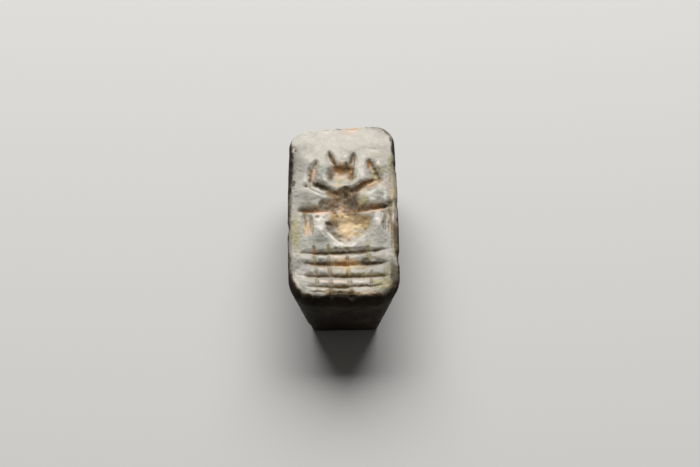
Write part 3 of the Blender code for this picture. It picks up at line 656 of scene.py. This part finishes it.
        (0.2, -13.3, 6.8, 0.4, 0.35), (7.6, -15, 0.6, 0.8, 0.4), (-8.9, -15.2, 0.35, 2, 0.9, 22),
        (1, -15.3, 5.2, 0.4, 0.4), (-2.4, -16.1, 2.4, 0.3, 0.6), (-2.4, -16.2, 0.5, 0.8, 0.7),
        (-1.6, -16.3, 1.4, 0.3, 0.6), (-4.4, -16.4, 1.5, 0.35, 0.9), (4.4, -16.6, 2.4, 0.5, 0.4),
        (1.4, -16.8, 0.6, 1, 1), (2.2, -16.9, 0.7, 0.4, 0.8), (-0.6, -17, 2.8, 1.1, 1),
        (-0.6, -17.2, 2.6, 0.7, 1), (-6.2, -17.4, 0.7, 0.4, 0.8), (4.8, -17.4, 2.6, 0.35, 0.6),
        (0, -18.3, 8.5, 1, 0.9),
    ),
    # black dirt in the cuts; a few ovals, as beside the hip, are painted shade
    "black": (
        (-0.4, 18.1, 0.7, 0.35, 1), (-3, 17.9, 0.8, 0.2, 0.6), (-8.5, 13.2, 0.3, 0.6, 0.8),
        (-2.2, 12.4, 0.35, 0.9, 0.6, 15), (-8, 12, 0.8, 2.6, 0.5), (9.2, 12, 0.3, 3, 0.5),
        (-8.9, 11.4, 0.5, 1.8, 0.6), (1.45, 10.9, 0.25, 1.1, 0.9, -12), (-8.5, 10.5, 0.4, 3.4, 0.5),
        (-4.75, 10.4, 0.4, 0.4, 0.8), (0.7, 10.1, 0.4, 0.4, 0.8), (6, 9.6, 0.22, 1, 0.7, 14),
        (0.8, 9.4, 0.5, 0.4, 0.9), (-9, 8.6, 0.4, 2.4, 0.5), (6.65, 7.6, 0.3, 1.3, 0.8, 14),
        (4.9, 7.05, 0.5, 0.3, 0.8, 32), (-8.9, 5.9, 0.5, 0.8, 0.9), (-3.8, 5.85, 1.9, 0.9, 0.95, -29),
        (-6.5, 5.5, 0.45, 0.4, 1), (1, 4.9, 1.2, 0.6, 0.3), (-2, 4.6, 1.2, 0.7, 0.45, -35),
        (0.55, 3.6, 0.45, 1.6, 0.8, -5), (-0.9, 3, 1.1, 1.2, 0.5), (-0.9, 2.6, 0.8, 1.3, 0.3),
        (0.7, 2.5, 0.8, 0.8, 1), (-2.8, 2.2, 1.2, 0.8, 0.5), (1.9, 2.2, 1.5, 2.2, 0.7),
        (-3.9, 1.9, 0.6, 1.1, 1, -10), (-3.2, 1.9, 0.8, 1, 0.7, -30), (7.2, 1.8, 1.2, 0.5, 0.6, 5),
        (-2.2, 1.6, 0.9, 0.7, 0.35), (8.4, 1.5, 0.6, 0.8, 0.8), (7.5, 1.4, 0.9, 0.6, 1),
        (-5.6, 1.2, 1.2, 0.25, 0.3), (-6, 0.9, 1.8, 0.4, 0.5), (-2.6, -2.3, 0.8, 0.4, 0.9, -10),
        (-2, -3.3, 0.8, 0.9, 0.32, 25), (-2.6, -3.4, 0.3, 0.8, 0.3, 20), (-1.5, -4.3, 0.6, 0.9, 0.22, 30),
        (8.5, -6, 0.25, 2.6, 0.5), (9.2, -6, 0.4, 3.4, 0.6), (6, -8.1, 1.3, 0.35, 1, 14),
        (-1, -8.5, 1.9, 0.4, 0.9), (2.4, -8.6, 2, 0.35, 0.9), (-4.6, -8.7, 2.8, 0.25, 0.5),
        (3.8, -10.3, 1, 0.9, 0.9), (-4.1, -10.4, 1, 0.8, 0.8), (5.7, -10.8, 1.6, 0.5, 0.8),
        (4, -11, 3.2, 0.2, 0.5), (8.6, -13, 0.7, 3, 0.8), (-4.4, -13.3, 2.4, 0.15, 0.4),
        (2.2, -13.4, 3.6, 0.2, 0.3), (-3.8, -15.3, 1.6, 0.2, 0.4), (0.8, -15.4, 5.6, 0.2, 0.4),
        (-4.8, -16.5, 1.6, 0.25, 0.5), (-0.6, -17, 2.3, 1, 0.85), (-6.2, -17.5, 0.4, 0.3, 0.8),
        (0, -18.4, 8.5, 0.8, 0.8),
    ),
}
OVAL_WHOLE, OVAL_GONE = 0.35, 1.5               # how far out in an oval its paint starts to thin, and ends
WANDER, MOTTLE = 0.22, 0.45                     # of an oval's edge in millimetres, and of its paint
# How far a substance keeps to the cuts and the rim, from 0 to 1
CLINGS = {"brown": 0.6, "black": 0.65, "rust": 0.5, "earth": 0.3, "salmon": 0.2}
THINNED_DIRT_AND_SHADE = (
    # centre, half sizes: the floor of the belly, and the brow, where the dirt and its painted shade are
    # thinned
    ((0.7, -1.8), (1.7, 2.2)),
    ((-0.5, 10.6), (0.9, 0.6)),
)
SKIN_EDGE = 0.62                # how far in from the face's edge the dark skin of the walls starts
SKIN_REACH = (
    # centre, half sizes, millimetres further in
    ((0.0, 19.0), (11.0, 3.2), -0.5),
    ((-9.6, 9.5), (1.4, 6.0), 0.45),
    ((-9.0, -17.2), (1.6, 2.6), 0.6),
    ((-9.4, -14.6), (1.0, 2.0), 0.35),
    ((0.0, -18.6), (9.0, 1.6), 0.7),
    ((-0.6, -17.6), (2.8, 1.6), 1.2),
    ((9.4, -17.5), (1.6, 2.6), 0.25),
    ((9.8, 14.4), (1.4, 2.4), 0.5),
    ((9.8, 4.0), (1.4, 7.0), -0.5),
    ((-9.8, -6.0), (1.2, 4.5), -0.3),
)
FACE_CORNER = 3.5               # radius of the flat face's own corners
SMOOTHED, NEARBY, AROUND = 3, 14, 24            # passes of blurring that surroundings are taken over
CORNER_WEAR = 0.42                              # how much of the skin the walls' corners have lost


def painted(x, y, points, name):
    """One painted layer's mask: the strongest of its ovals, each ragged at its edge."""
    ragged_x = x + WANDER * fractal(points, 0.9, 3, 71)
    ragged_y = y + WANDER * fractal(points, 0.9, 3, 79)
    mask = np.zeros(x.shape)
    for across, along, half_width, half_length, amount, *turn in PAINT[name]:
        out = oval(ragged_x, ragged_y, (across, along), (half_width, half_length), *turn)
        mask = np.maximum(mask, amount * (1 - step_up(out, OVAL_WHOLE, OVAL_GONE)))
    return mask * (1 + MOTTLE * fractal(points, 0.7, 3, 89))


def masks(points, x, y, depths, tilt_y, hollow, out):
    """Every mask at some points of the stone, from what carve gives there.

    tilt_y is the slope towards the far end, hollow how far a point lies below its
    surroundings, and out how far it is outside the face. A substance that clings is thinned
    by its share in CLINGS where neither a cut nor the rim holds it.
    """
    depth, strokes, bevel = depths
    sunk = step_up(depth, 0.04, 0.40)
    at_rim = np.maximum(step_up(out, -1.6, -0.2), step_up(-y, 15.6, 16.5))
    fade = 1 - step_up(out, 0.9, 1.6)
    found = {}
    for name in PAINT:
        hold = CLINGS.get(name, 0.0)
        found[name] = painted(x, y, points, name) * fade * (1 - hold * (1 - np.maximum(sunk, at_rim)))
    # Fine dirt fills the cuts; painted shade adds to it on slopes that rise to the far end,
    # which turn away from the window, and in every small hollow
    shaded = step_up(tilt_y, -0.25, 0.35)
    dirt_and_shade = 0.25 * sunk + 0.45 * sunk * shaded + 0.5 * step_up(hollow, 0.0, 0.12)
    # A broken line of it runs along the lips of the strokes that cross the rows
    outlined = step_up(strokes, -0.10, 0.0) * (1 - 0.7 * step_up(strokes, 0.06, 0.16)) * fade
    outlined = outlined * step_up(fractal(points, 0.8, 3, 103), -0.3, 0.25)
    # The dirt is halved where a slope faces the window, which is painted shade as well
    dirt_and_shade = np.maximum(dirt_and_shade * (0.5 + 0.5 * shaded), 0.55 * outlined)
    dirt_and_shade = np.clip(dirt_and_shade * (1 + 0.5 * fractal(points, 0.8, 3, 97)), 0, 1) * (1 - 0.9 * bevel)
    for centre, half_sizes in THINNED_DIRT_AND_SHADE:
        dirt_and_shade *= 1 - 0.7 * (1 - step_up(oval(x, y, centre, half_sizes), 0.5, 1.2))
    found["dirt_and_shade"] = dirt_and_shade
    # Brown and olive lie in patches along the strokes, which the paler layers, substances and painted
    # highlights alike, mostly leave
    crossed = step_up(strokes, -0.06, 0.10) * fade
    patchy = fractal(points, 1.8, 3, 101)
    found["brown"] = np.maximum(found["brown"], outlined * (0.1 + 0.5 * step_up(patchy, -0.2, 0.4)))
    found["brown"] = np.maximum(found["brown"], crossed * 0.4 * step_up(patchy, -0.5, 0.1))
    found["olive"] = np.maximum(found["olive"], crossed * 0.65 * step_up(-patchy, -0.2, 0.3))
    for name in ("earth", "salmon", "pale", "chalk_and_highlight"):
        found[name] = found[name] * (1 - 0.6 * crossed)
    # The belly's bevel is rubbed bare, and a chalky painted highlight lies on it, stronger on the left, where
    # this wall faces the window
    for name in ("grey_and_shade", "olive", "earth", "salmon", "rust", "brown", "black"):
        found[name] = found[name] * (1 - 0.92 * bevel)
    found["chalk_and_highlight"] = np.maximum(found["chalk_and_highlight"], bevel * step_up(-y, 3.0, 5.0) * np.where(x < 0, 0.75, 0.4))
    # The walls' dark skin comes in over the rim, with a ragged edge
    reach = np.full(x.shape, -SKIN_EDGE)
    for centre, half_sizes, further in SKIN_REACH:
        reach += further * (1 - step_up(oval(x, y, centre, half_sizes), 0.3, 1.3))
    found["skin"] = step_up(out + reach + 0.5 * fractal(points, 0.9, 5, 83), -0.8, 0.8)
    return found


# How far outside the face's edge each of its points is, so negative inside it
half_x, half_y = WIDTH / 2 - RIM_INSET, LENGTH / 2 - RIM_INSET
face_in = -np.minimum((1 - np.abs(face_s)) * half_x, (1 - np.abs(face_t)) * half_y)
corner_x = np.maximum(np.abs(face_x) - (half_x - FACE_CORNER), 0)
corner_y = np.maximum(np.abs(face_y) - (half_y - FACE_CORNER), 0)
face_in = np.maximum(face_in, np.hypot(corner_x, corner_y) - FACE_CORNER)
heights = face_worn[..., 2]
tilt_y = np.gradient(blurred(heights, SMOOTHED), axis=0) / np.gradient(face_y, axis=0)
hollow = blurred(heights, AROUND) - heights
face_masks = masks(face, face_x, face_y, (face_depth, face_strokes, face_bevel), tilt_y, hollow, face_in)
ringed = np.zeros(side_depth.shape)
side_masks = masks(sides, sides[..., 0], sides[..., 1], (side_depth, side_strokes, side_bevel),
                   ringed, ringed, rim_out)
# How far a point stands above its surroundings: rubbed high spots, and a painted highlight on the crests
face_masks["ridge"] = np.clip((heights - blurred(heights, NEARBY)) / 0.08, 0, 1)
side_masks["ridge"] = ringed
for name in face_masks:
    tail = np.repeat(side_masks[name][-1:], len(BACK_SCALES), axis=0)
    values = np.concatenate([face_masks[name].ravel(), side_masks[name][1:].ravel(), tail.ravel(),
                             side_masks[name][-1, :1]])
    block_mesh.attributes.new(name, "FLOAT", "POINT").data.foreach_set("value", values.astype(np.float32))

block = bpy.data.objects.new("stone_block", block_mesh)
bore = bpy.data.objects.new("cord_bore", bore_mesh)
bpy.context.scene.collection.objects.link(block)
bpy.context.scene.collection.objects.link(bore)
# The hole is cut through the block, and what is left is the seal
boring = block.modifiers.new("cord_hole", "BOOLEAN")
boring.solver = "EXACT"
boring.object = bore
depsgraph = bpy.context.evaluated_depsgraph_get()
stone_mesh = bpy.data.meshes.new_from_object(block.evaluated_get(depsgraph))
stone_mesh.name = "seal_stone"
bpy.data.objects.remove(block)
bpy.data.objects.remove(bore)

# Below the rim the skin is whole but for the walls' corners and foot, which are rubbed
spots = np.empty(len(stone_mesh.vertices) * 3, np.float32)
stone_mesh.vertices.foreach_get("co", spots)
below_rim = spots[2::3] < 0.8 * HEIGHT * MM
skin_values = np.empty(len(stone_mesh.vertices), np.float32)
stone_mesh.attributes["skin"].data.foreach_get("value", skin_values)
spots = spots.reshape(-1, 3) / MM
lean = 1 - spots[:, 2] / SHOULDER
towards_corner = np.minimum(np.abs(spots[:, 0]) / (WIDTH / 2 - SIDE_TAPER * lean),
                            np.abs(spots[:, 1]) / (LENGTH / 2 - END_TAPER * lean))
worn_off = np.maximum(step_up(towards_corner, 0.72, 0.92), 1 - step_up(spots[:, 2], 0.3, 1.0))
worn_off = worn_off * step_up(fractal(spots, 1.6, 4, 107), -0.35, 0.45)
skin_values = np.where(below_rim, 1 - CORNER_WEAR * worn_off, skin_values)
stone_mesh.attributes["skin"].data.foreach_set("value", skin_values.astype(np.float32))
stone_mesh.shade_smooth()
stone = bpy.data.objects.new("seal_stone", stone_mesh)
bpy.context.scene.collection.objects.link(stone)


# ---------------------------------------------------------------------------------------
# The stone's finish. Dark close-grained stone, half polished by handling where it is
# rubbed, matte in the cuts and on the walls.

def new_material(name):
    """A material's nodes, links and Principled shader."""
    material = bpy.data.materials.new(name)
    material.use_nodes = True
    tree = material.node_tree
    return material, tree.nodes, tree.links, tree.nodes["Principled BSDF"]


stone_material, nodes, links, shader = new_material("worn stone")
place = nodes.new("ShaderNodeTexCoord").outputs["Object"]


def wire(socket, value):
    """Links a socket to another one, or sets it to a plain value."""
    if isinstance(value, bpy.types.NodeSocket):
        links.new(value, socket)
    else:
        socket.default_value = value


def grain(scale, detail=4.0, roughness=0.6, stretch=(1, 1, 1)):
    """A noise with features of about 1 / scale metres."""
    placed = nodes.new("ShaderNodeMapping")
    placed.inputs["Scale"].default_value = stretch
    links.new(place, placed.inputs["Vector"])
    made = nodes.new("ShaderNodeTexNoise")
    links.new(placed.outputs["Vector"], made.inputs["Vector"])
    made.inputs["Scale"].default_value = scale
    made.inputs["Detail"].default_value = detail
    made.inputs["Roughness"].default_value = roughness
    return made.outputs["Fac"]


def ramp(value, low, high, to_low=0.0, to_high=1.0):
    """to_low below low, to_high above high, and a smooth step between."""
    made = nodes.new("ShaderNodeMapRange")
    made.interpolation_type = "SMOOTHSTEP"
    wire(made.inputs["Value"], value)
    for key, given in (("From Min", low), ("From Max", high), ("To Min", to_low), ("To Max", to_high)):
        made.inputs[key].default_value = given
    return made.outputs["Result"]


def sums(operation, a, b):
    """One calculation on two values."""
    made = nodes.new("ShaderNodeMath")
    made.operation = operation
    wire(made.inputs[0], a)
    wire(made.inputs[1], b)
    return made.outputs["Value"]


def mix(share, first, second):
    """The first colour where share is 0, the second where it is 1."""
    made = nodes.new("ShaderNodeMix")
    made.data_type = "RGBA"
    wire(made.inputs[0], share)
    # This node's colour sockets are its inputs 6 and 7 and its output 2
    for socket, colour in ((made.inputs[6], first), (made.inputs[7], second)):
        wire(socket, colour if isinstance(colour, bpy.types.NodeSocket) else (*colour, 1.0))
    return made.outputs[2]


def scaled(colour, factor):
    """A colour times a factor."""
    made = nodes.new("ShaderNodeVectorMath")
    made.operation = "SCALE"
    links.new(colour, made.inputs["Vector"])
    wire(made.inputs["Scale"], factor)
    return made.outputs["Vector"]


def mask_of(name):
    """The mask that was painted on the stone's points."""
    made = nodes.new("ShaderNodeAttribute")
    made.attribute_name = name
    return made.outputs["Fac"]


def shaken(name, scale, spread, detail=5):
    """A mask with its edge broken up by grain: mask + spread (grain - 1/2)."""
    shake = sums("MULTIPLY", sums("SUBTRACT", grain(scale, detail, 0.7), 0.5), spread)
    return sums("ADD", mask_of(name), shake)


def coat(under, name, scale, spread, most, paint):
    """A colour over another where the broken mask is, hiding at most that share of it."""
    return mix(sums("MULTIPLY", ramp(shaken(name, scale, spread), 0.12, 0.88), most), under, paint)


def flecked(scale, detail, first, second, low=0.3, high=0.7):
    """Two colours mingled by grain."""
    return mix(ramp(grain(scale, detail), low, high), first, second)


def clouded(under, scale, detail, low, high, most, paint, roughness=0.6):
    """A colour with another over it where the grain is high, hiding at most that share of it."""
    return mix(ramp(grain(scale, detail, roughness), low, high, 0.0, most), under, paint)


# The bare stone: two greys, with greenish and reddish clouds and fine dark specks
body = flecked(220, 4, (0.245, 0.228, 0.19), (0.39, 0.362, 0.30))
body = clouded(body, 130, 2, 0.45, 0.7, 0.5, (0.28, 0.295, 0.24))
body = clouded(body, 90, 2, 0.5, 0.75, 0.5, (0.38, 0.33, 0.29))
body = clouded(body, 1500, 4, 0.55, 0.8, 0.35, (0.15, 0.135, 0.10), 0.7)
# What lies on it, from the bottom up; the grey patches and the dirt carry painted shade, and
# the pale, the crests and the chalk carry painted sheen and highlights
colour = coat(body, "grey_and_shade", 700, 1.0, 0.75, (0.15, 0.145, 0.115))
colour = coat(colour, "pale", 500, 1.0, 0.8, (0.54, 0.50, 0.425))
# High spots are lighter: rubbed wear, and a painted highlight on the crests
ridge_wear_and_highlight = sums("MULTIPLY", mask_of("ridge"), ramp(grain(900, 4), 0.4, 0.65, 0.0, 0.35))
colour = mix(ridge_wear_and_highlight, colour, (0.60, 0.55, 0.48))
# Chalky rubbed spots, and the painted highlights on swells, ridges and bevels that face the window
chalk_and_highlight = flecked(260, 3, (0.70, 0.67, 0.65), (0.75, 0.70, 0.60), 0.35, 0.65)
colour = coat(colour, "chalk_and_highlight", 700, 0.9, 0.9, chalk_and_highlight)
olive = flecked(900, 4, (0.15, 0.13, 0.035), (0.37, 0.325, 0.14))
colour = coat(colour, "olive", 900, 1.0, 0.8, olive)
# Dirt, and with it the painted shade of slopes turned from the window and of small hollows
dirt_and_shade = flecked(700, 5, (0.10, 0.058, 0.022), (0.27, 0.18, 0.09))
colour = coat(colour, "dirt_and_shade", 1000, 0.9, 0.85, dirt_and_shade)
earth = flecked(500, 4, (0.52, 0.35, 0.16), (0.72, 0.54, 0.31))
colour = coat(colour, "earth", 800, 0.9, 0.9, earth)
colour = coat(colour, "salmon", 800, 0.9, 0.5, (0.62, 0.35, 0.24))
rust = flecked(700, 4, (0.26, 0.10, 0.02), (0.50, 0.26, 0.085))
colour = coat(colour, "rust", 800, 0.8, 0.8, rust)
brown = flecked(900, 4, (0.070, 0.028, 0.006), (0.20, 0.10, 0.032))
colour = coat(colour, "brown", 900, 0.9, 0.85, brown)
black = flecked(1100, 4, (0.020, 0.014, 0.006), (0.10, 0.075, 0.034), 0.35)
colour = coat(colour, "black", 1100, 0.9, 0.9, black)
dotted = sums("MULTIPLY", ramp(grain(1500, 2, 0.5), 0.56, 0.68, 0.0, 0.45), mask_of("brown"))
colour = mix(dotted, colour, (0.33, 0.255, 0.13))
# The dark skin of the walls, thin and brown at its edge
skin = flecked(350, 6, (0.008, 0.005, 0.003), (0.034, 0.023, 0.011), 0.35, 0.75)
skin = clouded(skin, 160, 5, 0.6, 0.75, 0.5, (0.075, 0.05, 0.025))
skin_left = shaken("skin", 900, 0.9, 6)
colour = mix(ramp(skin_left, 0.18, 0.55, 0.0, 0.9), colour, (0.115, 0.088, 0.055))
colour = mix(ramp(skin_left, 0.40, 0.85), colour, skin)
colour = scaled(colour, ramp(grain(420, 5, 0.75), 0.3, 0.7, 0.91, 1.09))
links.new(colour, shader.inputs["Base Color"])
matte = sums("MAXIMUM", sums("MAXIMUM", mask_of("earth"), mask_of("black")), mask_of("brown"))
roughness = sums("ADD", ramp(grain(900, 4), 0.3, 0.7, 0.34, 0.46), sums("MULTIPLY", matte, 0.3))
roughness = sums("ADD", roughness, sums("MULTIPLY", mask_of("skin"), 0.4))
links.new(roughness, shader.inputs["Roughness"])
bump = nodes.new("ShaderNodeBump")
bump.inputs["Strength"].default_value = 0.3
bump.inputs["Distance"].default_value = 0.00008
scratched = sums("MULTIPLY", grain(600, 3, 0.5, (1, 0.15, 1)), 0.5)
links.new(sums("ADD", grain(1800, 6, 0.65), scratched), bump.inputs["Height"])
links.new(bump.outputs["Normal"], shader.inputs["Normal"])
shader.inputs["Specular IOR Level"].default_value = 0.3
stone_mesh.materials.clear()
stone_mesh.materials.append(stone_material)
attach(stone, "root")
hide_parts("stamp_seal")


# ---------------------------------------------------------------------------------------
# The floor. A plain pale matte sheet, wide enough to fill the view from every side, on which
# the seal lies.

FLOOR_REACH = 1.5               # metres
floor_mesh = bpy.data.meshes.new("floor")
floor_mesh.from_pydata([(-FLOOR_REACH, -FLOOR_REACH, 0), (FLOOR_REACH, -FLOOR_REACH, 0),
                        (FLOOR_REACH, FLOOR_REACH, 0), (-FLOOR_REACH, FLOOR_REACH, 0)], [], [(0, 1, 2, 3)])
floor = bpy.data.objects.new("floor", floor_mesh)
bpy.context.scene.collection.objects.link(floor)
floor_material, _, _, floor_shader = new_material("pale floor")
floor_shader.inputs["Base Color"].default_value = (0.58, 0.575, 0.56, 1.0)
floor_shader.inputs["Roughness"].default_value = 1.0
floor_shader.inputs["Specular IOR Level"].default_value = 0.0
floor_mesh.materials.append(floor_material)


# ---------------------------------------------------------------------------------------
# The light. One big soft window stands behind the seal and leaves its near wall in the
# dark, and a little warm light comes from all round.

WINDOW_ELEVATION, WINDOW_DISTANCE, WINDOW_POWER = 44, 0.8, 12.5     # degrees, metres, watts
window_light = bpy.data.lights.new("window", "AREA")
window_light.shape = "RECTANGLE"
window_light.size, window_light.size_y = 0.9, 0.6
window_light.energy = WINDOW_POWER
window = bpy.data.objects.new("window", window_light)
rise = math.radians(WINDOW_ELEVATION)
to_window = Vector((0.0, math.cos(rise), math.sin(rise)))
window.location = Vector((0.0, 0.0, HEIGHT * MM)) + to_window * WINDOW_DISTANCE
window.rotation_euler = (-to_window).to_track_quat("-Z", "Y").to_euler()
bpy.context.scene.collection.objects.link(window)
world = bpy.data.worlds.new("studio")
bpy.context.scene.world = world
world.use_nodes = True
glow = world.node_tree.nodes["Background"]
glow.inputs["Color"].default_value = (1.0, 0.97, 0.92, 1.0)
glow.inputs["Strength"].default_value = 0.075


# ---------------------------------------------------------------------------------------
# The camera. It looks down on the face from its near end, from a little to the left, with
# a long lens.

CAMERA_TURN, CAMERA_ELEVATION = 0.93, 58.0      # degrees
CAMERA_DISTANCE = 0.265                         # metres
AIM_X, AIM_Y = 1.18, -4.82
aim = Vector((AIM_X * MM, AIM_Y * MM, HEIGHT * MM))
camera_data = bpy.data.cameras.new("camera")
camera_data.lens = 77.1         # millimetres
camera_data.sensor_width = 36.0
camera_data.clip_start = 0.01
camera = bpy.data.objects.new("camera", camera_data)
turned, rise = math.radians(CAMERA_TURN), math.radians(CAMERA_ELEVATION)
to_camera = Vector((-math.sin(turned) * math.cos(rise), -math.cos(turned) * math.cos(rise), math.sin(rise)))
camera.location = aim + to_camera * CAMERA_DISTANCE
camera.rotation_euler = (-to_camera).to_track_quat("-Z", "Y").to_euler()
bpy.context.scene.collection.objects.link(camera)
bpy.context.scene.camera = camera
bpy.context.scene.view_settings.view_transform = "Standard"
